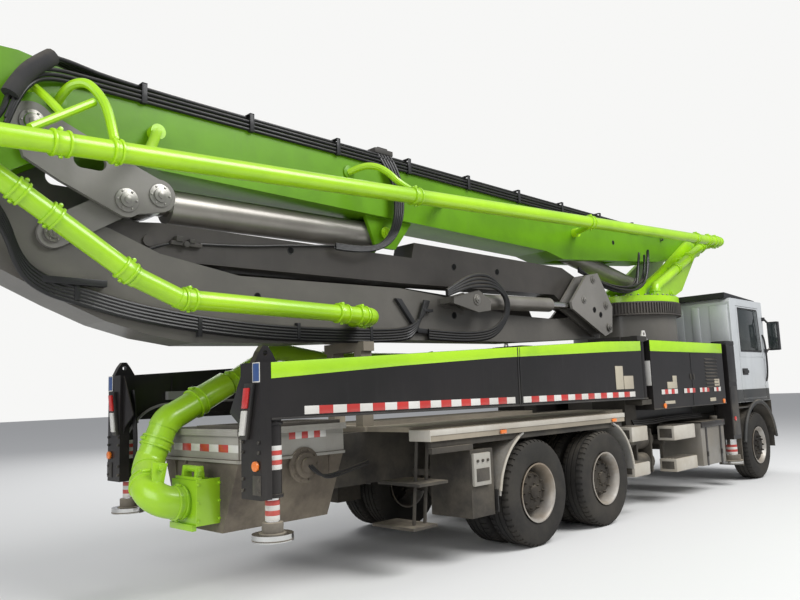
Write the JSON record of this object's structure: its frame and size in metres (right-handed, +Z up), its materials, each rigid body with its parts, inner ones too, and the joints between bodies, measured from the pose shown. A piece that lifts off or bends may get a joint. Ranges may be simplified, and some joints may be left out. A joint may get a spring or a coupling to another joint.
{
  "type": "truck-mounted concrete boom pump",
  "caption": "Three-axle truck with a concrete pump, hopper, swing-out outriggers and a folding placing boom on a slewing column, folded for the road.",
  "frame": {"origin": "centre of the bounding box on the ground under the truck", "axes": "+X to the front of the truck, +Y to its left, +Z up"},
  "size_m": [12.93, 2.88, 4.1599],
  "materials": {
    "chassis_black": "satin",
    "engine_grey": "rough",
    "cab_silver": "gloss",
    "glass": "smooth",
    "trim_black": "matte",
    "panel_charcoal": "satin",
    "boom_grey": "satin",
    "deck_dust": "dusty",
    "fender_metal": "dusty",
    "grate_black": "satin",
    "lime": "gloss",
    "tyre": "matte",
    "barrel_grey": "satin",
    "rod_chrome": "polished"
  },
  "bodies": {
    "chassis": {"chassis_frame": "chassis_black", "axles": "chassis_black", "engine": "engine_grey", "cab_shell": "cab_silver", "cab_glass": "glass", "cab_interior": "trim_black", "front_bumper": "trim_black", "mirrors": "chassis_black", "pedestal": "boom_grey", "cabinets": "panel_charcoal", "deck": "deck_dust", "fenders": "fender_metal", "side_gear": "deck_dust", "pump_unit": "boom_grey", "hopper": "deck_dust", "delivery_line": "lime"},
    "door_left": {"door_left": "cab_silver"},
    "door_right": {"door_right": "cab_silver"},
    "grate": {"hopper_grate": "grate_black"},
    "turret": {"turret": "lime"},
    "lift_barrel": {"lift_barrel": "barrel_grey"},
    "lift_rod": {"lift_rod": "rod_chrome"},
    "boom_1": {"boom_1": "lime", "pipe_1": "lime"},
    "boom_2": {"boom_2": "boom_grey", "pipe_2": "lime"},
    "boom_3": {"boom_3": "boom_grey"},
    "boom_4": {"boom_4": "boom_grey"},
    "boom_5": {"boom_5": "boom_grey"},
    "knee_barrel": {"knee_barrel": "barrel_grey"},
    "knee_rod": {"knee_rod": "rod_chrome"},
    "knee_rocker": {"knee_rocker": "boom_grey"},
    "knee_link": {"knee_link": "boom_grey"},
    "elbow_barrel": {"elbow_barrel": "barrel_grey"},
    "elbow_rod": {"elbow_rod": "rod_chrome"},
    "elbow_rocker": {"elbow_rocker": "boom_grey"},
    "knuckle_left": {"knuckle_left": "chassis_black"},
    "wheel_front_left": {"wheel_front_left": "tyre"},
    "wheel_middle_left": {"wheel_middle_left": "tyre"},
    "wheel_rear_left": {"wheel_rear_left": "tyre"},
    "rear_arm_left": {"rear_arm_left": "panel_charcoal"},
    "rear_leg_left": {"rear_leg_left": "rod_chrome"},
    "front_arm_left": {"front_arm_left": "panel_charcoal"},
    "front_leg_left": {"front_leg_left": "rod_chrome"},
    "knuckle_right": {"knuckle_right": "chassis_black"},
    "wheel_front_right": {"wheel_front_right": "tyre"},
    "wheel_middle_right": {"wheel_middle_right": "tyre"},
    "wheel_rear_right": {"wheel_rear_right": "tyre"},
    "rear_arm_right": {"rear_arm_right": "panel_charcoal"},
    "rear_leg_right": {"rear_leg_right": "rod_chrome"},
    "front_arm_right": {"front_arm_right": "panel_charcoal"},
    "front_leg_right": {"front_leg_right": "rod_chrome"}
  },
  "joints": [
    {"name": "steer_left", "type": "hinge", "parent": "chassis", "child": "knuckle_left", "pos_m": [5.415, 0.78, 0.53], "axis": [0, 0, 1], "range_deg": [-38, 38]},
    {"name": "roll_front_left", "type": "hinge", "parent": "knuckle_left", "child": "wheel_front_left", "pos_m": [5.415, 1.045, 0.53], "axis": [0, 1, 0], "continuous": true},
    {"name": "roll_middle_left", "type": "hinge", "parent": "chassis", "child": "wheel_middle_left", "pos_m": [0.39, 0.925, 0.53], "axis": [0, 1, 0], "continuous": true},
    {"name": "roll_rear_left", "type": "hinge", "parent": "chassis", "child": "wheel_rear_left", "pos_m": [-0.96, 0.925, 0.53], "axis": [0, 1, 0], "continuous": true},
    {"name": "door_left_open", "type": "hinge", "parent": "chassis", "child": "door_left", "pos_m": [5.869, 1.229, 2], "axis": [0, 0, -1], "range_deg": [0, 70]},
    {"name": "rear_arm_left_swing", "type": "hinge", "parent": "chassis", "child": "rear_arm_left", "pos_m": [1.535, 1.12, 1.76], "axis": [0, 0, -1], "range_deg": [0, 75]},
    {"name": "rear_leg_left_down", "type": "slide", "parent": "rear_arm_left", "child": "rear_leg_left", "axis": [0, 0, -1], "range_m": [0, 0.57]},
    {"name": "front_arm_left_out", "type": "slide", "parent": "chassis", "child": "front_arm_left", "axis": [0.2079, 0.9781, 0], "range_m": [0, 1.4]},
    {"name": "front_leg_left_down", "type": "slide", "parent": "front_arm_left", "child": "front_leg_left", "axis": [0, 0, -1], "range_m": [0, 0.33]},
    {"name": "steer_right", "type": "hinge", "parent": "chassis", "child": "knuckle_right", "pos_m": [5.415, -0.78, 0.53], "axis": [0, 0, 1], "range_deg": [-38, 38]},
    {"name": "roll_front_right", "type": "hinge", "parent": "knuckle_right", "child": "wheel_front_right", "pos_m": [5.415, -1.045, 0.53], "axis": [0, 1, 0], "continuous": true},
    {"name": "roll_middle_right", "type": "hinge", "parent": "chassis", "child": "wheel_middle_right", "pos_m": [0.39, -0.925, 0.53], "axis": [0, 1, 0], "continuous": true},
    {"name": "roll_rear_right", "type": "hinge", "parent": "chassis", "child": "wheel_rear_right", "pos_m": [-0.96, -0.925, 0.53], "axis": [0, 1, 0], "continuous": true},
    {"name": "door_right_open", "type": "hinge", "parent": "chassis", "child": "door_right", "pos_m": [5.869, -1.229, 2], "axis": [0, 0, 1], "range_deg": [0, 70]},
    {"name": "rear_arm_right_swing", "type": "hinge", "parent": "chassis", "child": "rear_arm_right", "pos_m": [1.535, -1.12, 1.76], "axis": [0, 0, 1], "range_deg": [0, 75]},
    {"name": "rear_leg_right_down", "type": "slide", "parent": "rear_arm_right", "child": "rear_leg_right", "axis": [0, 0, -1], "range_m": [0, 0.57]},
    {"name": "front_arm_right_out", "type": "slide", "parent": "chassis", "child": "front_arm_right", "axis": [0.2079, -0.9781, 0], "range_m": [0, 1.4]},
    {"name": "front_leg_right_down", "type": "slide", "parent": "front_arm_right", "child": "front_leg_right", "axis": [0, 0, -1], "range_m": [0, 0.33]},
    {"name": "grate_open", "type": "hinge", "parent": "chassis", "child": "grate", "pos_m": [-3.545, -0.57, 1.32], "axis": [1, 0, 0], "range_deg": [0, 90]},
    {"name": "slew", "type": "hinge", "parent": "chassis", "child": "turret", "pos_m": [3.415, 0, 2.8], "axis": [0, 0, 1], "range_deg": [-180, 180]},
    {"name": "boom_lift", "type": "hinge", "parent": "turret", "child": "boom_1", "pos_m": [5.475, -0.1, 3.97], "axis": [0, 1, 0], "range_deg": [0, 90]},
    {"name": "lift_barrel_tilt", "type": "hinge", "parent": "turret", "child": "lift_barrel", "pos_m": [4.315, -0.1, 3.03], "axis": [0, 1, 0], "range_deg": [0, 95]},
    {"name": "lift_rod_out", "type": "slide", "parent": "lift_barrel", "child": "lift_rod", "axis": [-0.9871, 0, 0.16], "range_m": [0, 2.2]},
    {"name": "boom_2_unfold", "type": "hinge", "parent": "boom_1", "child": "boom_2", "pos_m": [-6.185, -0.1, 3.25], "axis": [0, 1, 0], "range_deg": [0, 180]},
    {"name": "boom_3_unfold", "type": "hinge", "parent": "boom_2", "child": "boom_3", "pos_m": [1.965, -0.1, 2.7], "axis": [0, 1, 0], "range_deg": [0, 180]},
    {"name": "boom_4_unfold", "type": "hinge", "parent": "boom_3", "child": "boom_4", "pos_m": [-4.685, 0.4, 2.85], "axis": [0, -1, 0], "range_deg": [0, 180]},
    {"name": "boom_5_unfold", "type": "hinge", "parent": "boom_4", "child": "boom_5", "pos_m": [1.265, 0.65, 2.56], "axis": [0, 1, 0], "range_deg": [0, 180]},
    {"name": "knee_barrel_tilt", "type": "hinge", "parent": "boom_1", "child": "knee_barrel", "pos_m": [-2.105, -0.1, 3.235], "axis": [0, 1, 0], "range_deg": [-20, 5]},
    {"name": "knee_rod_out", "type": "slide", "parent": "knee_barrel", "child": "knee_rod", "axis": [-0.9998, 0, -0.0176], "range_m": [0, 2]},
    {"name": "knee_rocker_turn", "type": "hinge", "parent": "boom_1", "child": "knee_rocker", "pos_m": [-5.615, -0.1, 3.56], "axis": [0, 1, 0], "range_deg": [0, 150]},
    {"name": "knee_link_turn", "type": "hinge", "parent": "boom_2", "child": "knee_link", "pos_m": [-5.435, -0.1, 2.8], "axis": [0, -1, 0], "range_deg": [0, 120]},
    {"name": "elbow_barrel_tilt", "type": "hinge", "parent": "boom_2", "child": "elbow_barrel", "pos_m": [-0.925, -0.4, 2.59], "axis": [0, -1, 0], "range_deg": [-10, 30]},
    {"name": "elbow_rod_out", "type": "slide", "parent": "elbow_barrel", "child": "elbow_rod", "axis": [0.9995, 0, 0.0304], "range_m": [0, 1.2]},
    {"name": "elbow_rocker_turn", "type": "hinge", "parent": "boom_2", "child": "elbow_rocker", "pos_m": [2.024, -0.4, 2.397], "axis": [0, 1, 0], "range_deg": [0, 110]}
  ],
  "couplings": [
    {"joint": "steer_right", "follows": "steer_left", "ratio": 1},
    {"joint": "slew", "follows": "boom_lift", "ratio": 2},
    {"joint": "lift_barrel_tilt", "follows": "boom_lift", "ratio": 0.985},
    {"joint": "lift_rod_out", "follows": "boom_lift", "m_per_rad": 1.343},
    {"joint": "boom_2_unfold", "follows": "boom_lift", "ratio": 0.33333},
    {"joint": "boom_3_unfold", "follows": "boom_lift", "ratio": 0.015},
    {"joint": "knee_barrel_tilt", "follows": "boom_lift", "ratio": -0.0966},
    {"joint": "knee_rod_out", "follows": "boom_lift", "m_per_rad": 0.2407},
    {"joint": "knee_rocker_turn", "follows": "boom_lift", "ratio": 0.351},
    {"joint": "knee_link_turn", "follows": "boom_lift", "ratio": 0.358},
    {"joint": "elbow_barrel_tilt", "follows": "boom_lift", "ratio": 0.0025},
    {"joint": "elbow_rod_out", "follows": "boom_lift", "m_per_rad": 0.0038},
    {"joint": "elbow_rocker_turn", "follows": "boom_lift", "ratio": 0.01},
    {"joint": "boom_5_unfold", "follows": "boom_4_unfold", "ratio": 1}
  ]
}
